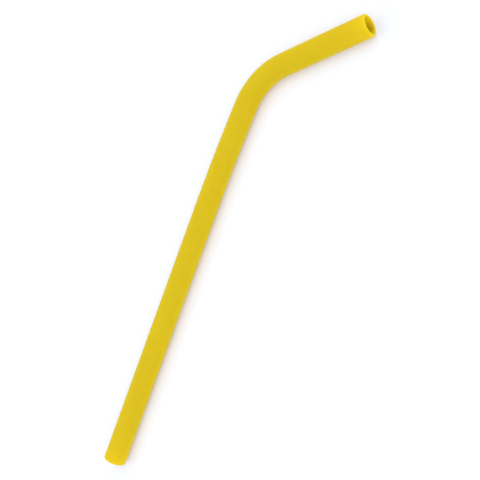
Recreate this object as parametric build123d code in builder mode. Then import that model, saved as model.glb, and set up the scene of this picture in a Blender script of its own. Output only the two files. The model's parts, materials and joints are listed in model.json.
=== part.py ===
"""A bent silicone drinking straw: one soft round tube, open at both ends.

The straw lies on its side, as it rests on a table. The origin is the centre of the
lower opening. The long leg runs from there along +Y, and the short leg, which is
the drinking end, turns off towards +X. Lengths are in millimetres, angles in degrees.
"""

from build123d import *
from math import radians
import os

# The tube's section
outer_diameter = 10.0
wall = 1.25

# The lips: the mouth's leaves only a narrow flat, the lower one is rounded less, and both are broken inside
inner_lip_radius = 0.15
mouth_lip_flat = 0.1
lower_lip_radius = 0.5

# The tube's line, about 240 mm from end to end: straight leg, slight easing curve, bend, straight mouth
leg_length = 122.0
easing_length = 49.0
easing_angle = 3.0
bend_radius = 31.0
bend_angle = 50.0  # the whole turn, easing curve and bend together
mouth_length = 42.0

# Sizes that follow from the ones above
outer_radius = outer_diameter / 2
bore_radius = outer_radius - wall
mouth_lip_radius = wall - inner_lip_radius - mouth_lip_flat
easing_radius = easing_length / radians(easing_angle)

with BuildPart() as straw:
    # Each curve starts along the end of the one before it, so that the wall has no kink
    with BuildLine() as centreline:
        leg = Line((0, 0), (0, leg_length))
        easing = JernArc(leg @ 1, leg % 1, easing_radius, -easing_angle)
        bend = JernArc(easing @ 1, easing % 1, bend_radius, easing_angle - bend_angle)
        mouth = Line(bend @ 1, bend @ 1 + (bend % 1) * mouth_length)

    # A ring, square to the centreline at the lower end, is the same all the way along
    with BuildSketch(Plane(leg @ 0, z_dir=leg % 0)) as ring:
        Circle(outer_radius)
        Circle(bore_radius, mode=Mode.SUBTRACT)
    sweep()

    # The two cut ends are the only flat faces, and each has a larger rim outside and a smaller one inside
    cut_ends = straw.faces().filter_by(GeomType.PLANE)
    rims = cut_ends.edges().group_by(SortBy.LENGTH)
    inner_rims, outer_rims = rims[0], rims[-1].sort_by(Axis.Y)
    fillet(outer_rims.first, lower_lip_radius)
    fillet(outer_rims.last, mouth_lip_radius)
    fillet(inner_rims, inner_lip_radius)

straw.part.label = "straw"

os.makedirs("parts", exist_ok=True)
export_step(straw.part, "parts/straw.step")

tube_length = sum(piece.length for piece in (leg, easing, bend, mouth))
print(f"straw: {tube_length:.1f} mm along its centreline, volume {straw.part.volume / 1000:.2f} cm3")
print(f"mouth opening centred at {mouth @ 1}, facing {mouth % 1}")
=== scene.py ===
# %% [markdown]
# # A bent silicone straw
# This lesson dresses one small, plain object: a soft yellow drinking straw that lies on a
# white table. There is hardly anything to hide behind, so the line of the tube, the rounded
# lips and the look of matt silicone have to be right. The straw's sizes come from a packed
# model, the frame, and every length in this file is in metres.

# %% Load the frame
import json
from math import cos, pi, radians, sin

import bmesh
import bpy
from mathutils import Matrix, Vector


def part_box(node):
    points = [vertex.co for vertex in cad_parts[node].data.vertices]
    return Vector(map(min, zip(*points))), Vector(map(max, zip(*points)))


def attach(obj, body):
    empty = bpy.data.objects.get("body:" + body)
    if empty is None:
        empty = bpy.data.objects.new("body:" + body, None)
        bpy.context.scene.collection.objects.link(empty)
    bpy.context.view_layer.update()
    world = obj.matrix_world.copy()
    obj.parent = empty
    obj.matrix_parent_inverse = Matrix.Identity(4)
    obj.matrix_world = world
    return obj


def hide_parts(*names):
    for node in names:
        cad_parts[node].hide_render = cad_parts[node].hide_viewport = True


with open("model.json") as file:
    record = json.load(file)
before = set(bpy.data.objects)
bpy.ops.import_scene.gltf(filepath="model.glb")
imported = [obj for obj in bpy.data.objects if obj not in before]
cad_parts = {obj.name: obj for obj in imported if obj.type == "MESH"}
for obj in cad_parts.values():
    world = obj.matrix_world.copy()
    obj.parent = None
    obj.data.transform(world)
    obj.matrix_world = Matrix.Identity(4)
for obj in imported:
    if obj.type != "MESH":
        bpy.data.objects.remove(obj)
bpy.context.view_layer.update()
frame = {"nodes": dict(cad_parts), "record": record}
mounts = {mount["name"]: mount for mount in frame["record"]["mounts"]}
print("nodes:", sorted(frame["nodes"]), "mounts:", sorted(mounts))

# %% [markdown]
# ## Read the straw's sizes
# The real straw is a long leg that stands in the drink, a bend, and a shorter end for the
# mouth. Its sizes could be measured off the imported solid, but the frame's mounts already say
# how wide the tube and its bore are, how long the two straight ends run, and where the mouth
# is and which way it looks. Read from there, they always agree with the solid.
#
# The straight bore ends a little short of the rim, where its edge is broken. Outside, the
# lip that the drinker feels is rounded over a whole millimetre, and the lower one over half
# of that.

# %% Sizes of the tube
millimetre = 0.001
mouth_lip_radius, lower_lip_radius = 1.0 * millimetre, 0.5 * millimetre
inner_lip_radius = 0.15 * millimetre

outer_radius = mounts["leg_outside"]["dims"]["r_mm"] * millimetre
bore_radius = mounts["lower_bore"]["dims"]["r_mm"] * millimetre
leg_length = mounts["lower_bore"]["dims"]["length_mm"] * millimetre + inner_lip_radius
mouth_length = mounts["mouth_bore"]["dims"]["length_mm"] * millimetre + inner_lip_radius
mouth_centre = Vector(mounts["mouth_bore"]["pos_m"])
mouth_facing = Vector(mounts["mouth_bore"]["axis"])
print(f"wall {(outer_radius - bore_radius) / millimetre:.2f} mm, leg {leg_length:.3f} m")

# %% [markdown]
# ## Find the two curves between the straight ends
# A straw like this doesn't go from straight to bent at once. Over some 5 cm the leg eases
# over by only three degrees, and only then comes the bend. Both curves are arcs. Their radii
# could be tried out until the mouth is in its place, but there is an exact way. Each arc's
# reach to the side and forward grows in step with its radius, and the two reaches together
# have to fill the gap between the straight ends. That is a pair of plain linear equations.

# %% Radii of the easing curve and the bend
easing_turn = radians(3.0)
leg_way = Vector((0, 1))
whole_turn = leg_way.angle(mouth_facing.xy)

easing_reach = Vector((1 - cos(easing_turn), sin(easing_turn)))
bend_reach = Vector((cos(easing_turn) - cos(whole_turn), sin(whole_turn) - sin(easing_turn)))
gap = (mouth_centre - mouth_facing * mouth_length).xy - leg_way * leg_length
reaches = Matrix((easing_reach, bend_reach)).transposed()
easing_radius, bend_radius = reaches.inverted() @ gap
print(f"easing radius {easing_radius:.4f} m, bend radius {bend_radius:.4f} m")

# %% [markdown]
# ## Walk along the centreline
# A Bezier curve with a bevel would be a quick way to a tube, but its bends are only nearly
# round, and its open ends have no lips. So the straw is built ring by ring. For that, one
# function tells where the centreline is after any distance, and where it is heading.

# %% The centreline as a function
stretches = [
    (leg_length, 0.0),
    (easing_radius * easing_turn, 1 / easing_radius),
    (bend_radius * (whole_turn - easing_turn), 1 / bend_radius),
    (mouth_length, 0.0),
]
tube_length = sum(length for length, _ in stretches)


def centreline(distance):
    """The centre after this distance, and the heading as an angle away from +Y."""
    centre, heading = Vector((0, 0, 0)), 0.0
    for length, curvature in stretches:
        step = max(0.0, min(distance, length))
        turn = step * curvature
        # The chord goes straight from where the arc starts to where it ends
        chord = step if turn == 0 else 2 / curvature * sin(turn / 2)
        middle = heading + turn / 2
        centre += chord * Vector((sin(middle), cos(middle), 0))
        heading += turn
        distance -= length
    return centre, heading


end_error = (centreline(tube_length)[0] - mouth_centre).length
print(f"tube {tube_length:.4f} m along its centreline, off the mouth by {end_error:.6f} m")

# %% [markdown]
# ## Describe the wall as rings
# Cut the straw open along its length and the wall is one closed strip: up the outside, over
# the lip at the mouth, down the bore and round the lower lip. Each point of that strip
# stands for a ring, and has two numbers: how far along the tube it is, and how far out.
#
# A Solidify modifier on a thin tube would give the wall too, but with flat rims. Here every
# lip is a quarter round outside and a tiny one inside, with a flat ring between them. The
# lower end keeps more of that flat, and at the mouth hardly any of it is left.

# %% The strip over a lip
outer_lip_steps, inner_lip_steps = 10, 4


def quarter_round(tip, way, start, radius, steps):
    """Points round one quarter of a lip. A negative radius turns it outwards, not inwards."""
    points = []
    for step in range(steps + 1):
        angle = pi / 2 * step / steps
        along = tip - way * abs(radius) * (1 - sin(angle))
        out = start - radius * (1 - cos(angle))
        points.append((along, out))
    return points


def lip(tip, way, outer_lip_radius):
    """The strip over one rim, from the outside wall to the bore. way is +1 at the mouth."""
    outside = quarter_round(tip, way, outer_radius, outer_lip_radius, outer_lip_steps)
    inside = quarter_round(tip, way, bore_radius, -inner_lip_radius, inner_lip_steps)
    return outside + inside[::-1]


mouth_lip = lip(tube_length, 1, mouth_lip_radius)
lower_lip = lip(0.0, -1, lower_lip_radius)
print("rings over each lip:", len(mouth_lip))

# %% Rings of the whole wall
ring_spacing = 1.2 * millimetre
plain_length = tube_length - lower_lip_radius - mouth_lip_radius
wall_steps = round(plain_length / ring_spacing)
between = [
    lower_lip_radius + plain_length * step / wall_steps
    for step in range(1, wall_steps)
]
strip = [(along, outer_radius) for along in between]
strip += mouth_lip
strip += [(along, bore_radius) for along in reversed(between)]
strip += lower_lip[::-1]
print(len(strip), "rings in all")

# %% [markdown]
# ## Place the vertices
# The strip's points turn into rings of vertices round the centreline. Each vertex also gets
# the place it would have if the straw were pulled straight. The finish reads that place
# later, so that its fine marks follow the tube round the bend.

# %% Places of the vertices
ring_vertices = 72


def places_of_vertices():
    """The vertices' real places, and their places if the straw were straight."""
    places, straightened = [], []
    for along, out in strip:
        centre, heading = centreline(along)
        side = Vector((cos(heading), -sin(heading), 0))
        for step in range(ring_vertices):
            angle = 2 * pi * step / ring_vertices
            sideways, upwards = out * cos(angle), out * sin(angle)
            places.append(centre + side * sideways + Vector((0, 0, upwards)))
            straightened.append((sideways, upwards, along))
    return places, straightened


places, straightened = places_of_vertices()
print(len(places), "vertices")

# %% [markdown]
# ## Join the rings
# Neighbouring rings are joined with four-sided faces. The strip is closed and so is each
# ring, so the last one is joined to the first. That makes one watertight skin, which goes
# round the wall as the real silicone's surface does.

# %% Faces between the rings
def faces_between_rings():
    """Four-sided faces from each ring to the next."""
    faces = []
    for ring in range(len(strip)):
        here, there = ring * ring_vertices, (ring + 1) % len(strip) * ring_vertices
        for step in range(ring_vertices):
            beside = (step + 1) % ring_vertices
            faces.append((here + step, there + step, there + beside, here + beside))
    return faces


faces = faces_between_rings()
print(len(faces), "faces")

# %% The straw's mesh
mesh = bpy.data.meshes.new("silicone_straw")
mesh.from_pydata(places, [], faces)
straight = mesh.attributes.new("straight_place", "FLOAT_VECTOR", "POINT")
straight.data.foreach_set("vector", [number for place in straightened for number in place])
mesh.shade_smooth()
straw = bpy.data.objects.new("silicone_straw", mesh)
bpy.context.scene.collection.objects.link(straw)
print("object:", straw.name)

# %% [markdown]
# ## Compare it with the solid
# A mesh can look right and still be inside out, or a little too thin. The volume inside it
# tells both at once. It is negative if the faces look inwards, and for a wall this thin it
# only agrees with the solid's if the tube, the bore and the length all do.

# %% Volumes of the skin and of the solid
cubic_centimetre = 1e-6


def volume_of(mesh):
    """Volume inside a closed mesh, in cubic centimetres. It is negative if inside out."""
    work = bmesh.new()
    work.from_mesh(mesh)
    volume = work.calc_volume(signed=True)
    work.free()
    return volume / cubic_centimetre


frame_volume = volume_of(frame["nodes"]["straw"].data)
print(f"volume {volume_of(straw.data):.3f} cm3, the frame's {frame_volume:.3f} cm3")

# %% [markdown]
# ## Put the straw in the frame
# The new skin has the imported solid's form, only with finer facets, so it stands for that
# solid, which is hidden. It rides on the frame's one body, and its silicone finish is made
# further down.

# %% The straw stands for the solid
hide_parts("straw")
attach(straw, "root")
print("piece:", straw.name)

# %% [markdown]
# ## Place the camera
# The photograph looks down on the straw from the side that the mouth points to. A camera can
# be turned by three angles of its own, but these say little to a reader. So it is placed by
# a point to aim at, two angles round that point, a distance and a long lens. Because the
# straw lies flat here, the camera is also rolled over onto its side, so that the leg rises
# through the picture as it does in the photograph.

# %% The camera
aim = Vector((0.0221, 0.11759, 0.0))
azimuth, elevation, roll = radians(108.547), radians(55.710), radians(85.148)
distance = 0.49947
sensor_width, lens = 36.0, 88.055

back = Vector((sin(azimuth) * cos(elevation), -cos(azimuth) * cos(elevation), sin(elevation)))
level = (-back).to_track_quat("-Z", "Y").to_matrix()
turned = level @ Matrix.Rotation(-roll, 3, "Z")
camera = bpy.data.objects.new("camera", bpy.data.cameras.new("camera"))
camera.data.sensor_width, camera.data.lens = sensor_width, lens
camera.matrix_world = Matrix.Translation(aim + back * distance) @ turned.to_4x4()
bpy.context.scene.collection.objects.link(camera)
bpy.context.scene.camera = camera
print("camera at", [round(number, 4) for number in camera.matrix_world.translation])

# %% [markdown]
# ## Sums and products in a shader
# A material is a graph of nodes. Linked one by one, even a short sum takes many lines and is
# hard to read. So a `Wire` stands for the output of a node, and adding or multiplying wires
# adds the Math nodes that do so.

# %% A wire between nodes
class Wire:
    """A node's output, which can be used in sums and products like a number."""

    def __init__(self, nodes, socket):
        self.nodes, self.socket = nodes, socket

    def math(self, operation, first, second):
        return self.nodes.add("Math", {"operation": operation}, {0: first, 1: second})

    def __add__(self, other):
        return self.math("ADD", self, other)

    def __radd__(self, other):
        return self.math("ADD", other, self)

    def __sub__(self, other):
        return self.math("SUBTRACT", self, other)

    def __rsub__(self, other):
        return self.math("SUBTRACT", other, self)

    def __mul__(self, other):
        return self.math("MULTIPLY", self, other)

    def __rmul__(self, other):
        return self.math("MULTIPLY", other, self)

    def larger(self, other):
        """The larger of this wire and another."""
        return self.math("MAXIMUM", self, other)


print("wires can be added, subtracted, multiplied and compared")

# %% [markdown]
# ## Any other node
# All nodes that aren't sums are made in the same way, by one helper. It takes the node's
# type, its settings, then the values or wires of its sockets. The settings come first,
# because some of them change which sockets the node has.

# %% The nodes of one graph
class Nodes:
    """Adds nodes to the graph of one material or of the world."""

    def __init__(self, owner):
        owner.use_nodes = True
        self.tree = owner.node_tree
        self.tree.nodes.clear()

    def add(self, kind, settings=None, sockets=None, output=0):
        """Makes a node, and returns the named or numbered output as a Wire."""
        node = self.tree.nodes.new("ShaderNode" + kind)
        for name, value in (settings or {}).items():
            setattr(node, name, value)
        for name, value in (sockets or {}).items():
            if isinstance(value, Wire):
                self.tree.links.new(value.socket, node.inputs[name])
            else:
                node.inputs[name].default_value = value
        return Wire(self, node.outputs[output]) if node.outputs else None


print("nodes can be added")

# %% [markdown]
# ## Noise along the tube
# All the marks in silicone are irregular, and one noise texture at different sizes can draw
# them. Object coordinates wouldn't turn with the bend, and a UV map would need a seam. So
# the noise is read at the straightened place that each vertex keeps, and a stretched noise
# gives faint lines that run along the tube and turn with it.

# %% A noise helper
def tube_noise(nodes, size, stretch=1.0, detail=2.0):
    """Noise from 0 to 1 with lumps of this size across the tube, longer along it by stretch."""
    place = nodes.add("Attribute", {"attribute_name": "straight_place"}, output="Vector")
    scale = (1 / size, 1 / size, 1 / size / stretch)
    sized = nodes.add("VectorMath", {"operation": "MULTIPLY"}, {0: place, 1: scale})
    return nodes.add("TexNoise", {}, {"Vector": sized, "Scale": 1.0, "Detail": detail})


print("noise helper is ready")

# %% [markdown]
# ## The silicone's colour and depth
# Matt silicone is a saturated colour with hardly any shine. A plain diffuse colour would
# look like chalk, and a clear one like glass, and silicone is neither: light goes into it
# and comes out again a little further on. That softens the shading, and light also gets
# through the thin wall and warms up the bore. The Principled shader's subsurface light does
# just this. How far red, green and blue travel isn't measured, and neither are the yellows.
# They were tried out until the render came close to the photograph. The colour wanders
# between a deeper and a lighter yellow, as if the pigment were very slightly uneven.

# %% Colours and depth
deep_yellow = (0.79, 0.515, 0.010, 1)
light_yellow = (0.85, 0.575, 0.014, 1)
cloud_size, mottle_size, mottle_detail = 22 * millimetre, 3.5 * millimetre, 4.0
cloud_share, mottle_share, tone_shift = 0.6, 0.5, 0.05
light_depth = (4.5 * millimetre, 4.7 * millimetre, 1.8 * millimetre)
silicone_ior, shine = 1.41, 0.1
print("light travels (mm):", [round(depth / millimetre, 1) for depth in light_depth])

# %% [markdown]
# ## The marks on its skin
# Such a tube usually has a fine grain, faint lines along it that moulding leaves, and a
# surface that swells ever so slightly. The photograph is too coarse to show these marks, so
# their sizes are guesses. All are less than a tenth of a millimetre high. Modelled, they
# would cost far more faces than the straw itself, so they are a gentle bump. The grain and
# the lines also make the skin a little rougher here and there.

# %% Sizes and strengths of the marks
grain_size, grain_detail = 0.16 * millimetre, 3.0
line_size, line_stretch = 0.5 * millimetre, 60
swell_size, swell_detail = 9 * millimetre, 1.0
grain_height, line_height, swell_height = 0.35, 0.35, 1.6
bump_strength, bump_depth = 0.35, 0.04 * millimetre
smoothest, grain_roughness, line_roughness = 0.5, 0.12, 0.08
roughest = smoothest + grain_roughness + line_roughness
print(f"roughness from {smoothest:.2f} to {roughest:.2f}")

# %% [markdown]
# ## Mix the silicone
# The material brings these numbers together. A Mix node has sockets for every kind of data,
# and those for two colours and their mix have the numbers 6, 7 and 2.

# %% The silicone's material
first_colour, second_colour, mixed_colour = 6, 7, 2


def silicone():
    """Matt yellow silicone for the whole straw."""
    material = bpy.data.materials.new("yellow_silicone")
    nodes = Nodes(material)
    clouds = tube_noise(nodes, cloud_size)
    mottle = tube_noise(nodes, mottle_size, detail=mottle_detail)
    lines = tube_noise(nodes, line_size, line_stretch)
    grain = tube_noise(nodes, grain_size, detail=grain_detail)
    swell = tube_noise(nodes, swell_size, detail=swell_detail)

    tone = clouds * cloud_share + mottle * mottle_share - tone_shift
    colour = nodes.add(
        "Mix",
        {"data_type": "RGBA"},
        {"Factor": tone, first_colour: deep_yellow, second_colour: light_yellow},
        output=mixed_colour,
    )
    height = grain * grain_height + lines * line_height + swell * swell_height
    bump = nodes.add(
        "Bump",
        {},
        {"Strength": bump_strength, "Distance": bump_depth, "Height": height},
    )
    surface = nodes.add(
        "BsdfPrincipled",
        {"subsurface_method": "RANDOM_WALK"},
        {
            "Base Color": colour,
            "Roughness": smoothest + grain * grain_roughness + lines * line_roughness,
            "Normal": bump,
            "IOR": silicone_ior,
            "Specular IOR Level": shine,
            "Subsurface Weight": 1.0,
            "Subsurface Radius": light_depth,
            "Subsurface Scale": 1.0,
        },
    )
    nodes.add("OutputMaterial", {}, {"Surface": surface})
    return material


straw.data.materials.append(silicone())
print("material:", straw.data.materials[0].name)

# %% [markdown]
# ## Rays that make the picture
# The photograph's background is pure white, but the straw's soft shadow shows on it. More
# light would make everything round the straw white, and bleach the straw with it. So the
# surround and the table are brightened only for the rays that make the picture, straight on
# or mirrored, while the light that reaches the straw stays plain.

# %% A helper for what the camera sees
def seen_by_camera(nodes):
    """1 for rays that make the picture, and 0 for those that light things."""
    camera_ray, glossy_ray, through_ray = [
        nodes.add("LightPath", output=name)
        for name in ("Is Camera Ray", "Is Glossy Ray", "Is Transmission Ray")
    ]
    return camera_ray.larger(glossy_ray).larger(through_ray)


print("camera helper is ready")

# %% [markdown]
# ## The table
# The straw lies on a smooth white sheet. A diffuse sheet sends back nearly all the light
# that it gets, so under these lamps it comes out as white. But the tube throws yellow light
# on the sheet beside it, and the photograph's shadow is a neutral grey. A bluish sheet would
# hide that, but tint everything else. So a little blue is added only to what the camera sees
# of the sheet: it cancels the yellow in the shadow, and is lost in the white elsewhere.

# %% A white table
sheet_colour = (0.95, 0.95, 0.95, 1)
added_blue = (0.0, 0.05, 0.16, 1)
table_size = 6.0
tube_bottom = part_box("straw")[0].z


def table_finish():
    """White that stays white in the picture and still takes a shadow."""
    material = bpy.data.materials.new("white_table")
    nodes = Nodes(material)
    sheet = nodes.add("BsdfDiffuse", {}, {"Color": sheet_colour})
    glow = nodes.add("Emission", {}, {"Color": added_blue, "Strength": seen_by_camera(nodes)})
    whole = nodes.add("AddShader", {}, {0: sheet, 1: glow})
    nodes.add("OutputMaterial", {}, {"Surface": whole})
    return material


bpy.ops.mesh.primitive_plane_add(size=table_size, location=(0, 0, tube_bottom))
table = bpy.context.object
table.name = "table"
table.data.materials.append(table_finish())
print(f"table at {tube_bottom:.4f} m")

# %% [markdown]
# ## The surround
# Soft studio light comes from all sides, and the plainest way to it is a world of one even
# colour. Its strength is 0.7, because the lamps add the rest, but the camera sees it at a
# strength of 1, which is plain white.

# %% An even surround
surround_level = 0.70

world = bpy.data.worlds.new("surround")
bpy.context.scene.world = world
world_nodes = Nodes(world)
seen = seen_by_camera(world_nodes)
brightness = surround_level + seen * (1 - surround_level)
background = world_nodes.add("Background", {}, {"Color": (1, 1, 1, 1), "Strength": brightness})
world_nodes.add("OutputWorld", {}, {"Surface": background})
print("surround level:", surround_level)

# %% [markdown]
# ## The lamps
# The surround alone leaves only a thin dark line where the tube touches the table. A sun
# that is 110 degrees wide works like a softbox overhead, and it deepens the shadow beside
# the leg without giving it an edge. A weaker one next to the camera brightens the side of
# the tube that faces the picture, and looks into the mouth. An area lamp would do as well,
# but a sun lights the whole length of the straw alike. With the surround, the two light a
# level white surface to about white, so every colour comes out about as it is written.

# %% Two soft lamps
overhead_level, overhead_angle, overhead_way = 0.26, radians(110), Vector((0.06, 0.02, 1.0))
front_level, front_angle, front_way = 0.10, radians(60), Vector((0.53, 0.18, 0.83))


def soft_lamp(name, level, angle, way):
    """A sun of this width, which lights a level white surface to about this level."""
    lamp = bpy.data.objects.new(name, bpy.data.lights.new(name, "SUN"))
    lamp.data.angle = angle
    lamp.data.energy = pi * level / way.normalized().z
    lamp.rotation_mode = "QUATERNION"
    lamp.rotation_quaternion = way.to_track_quat("Z", "Y")
    bpy.context.scene.collection.objects.link(lamp)
    print(f"{name} lamp, strength {lamp.data.energy:.2f}")


soft_lamp("overhead", overhead_level, overhead_angle, overhead_way)
soft_lamp("front", front_level, front_angle, front_way)

# %% [markdown]
# ## Finish
# The standard view transform shows colours as they are written.

# %% Finish
bpy.context.scene.view_settings.view_transform = "Standard"
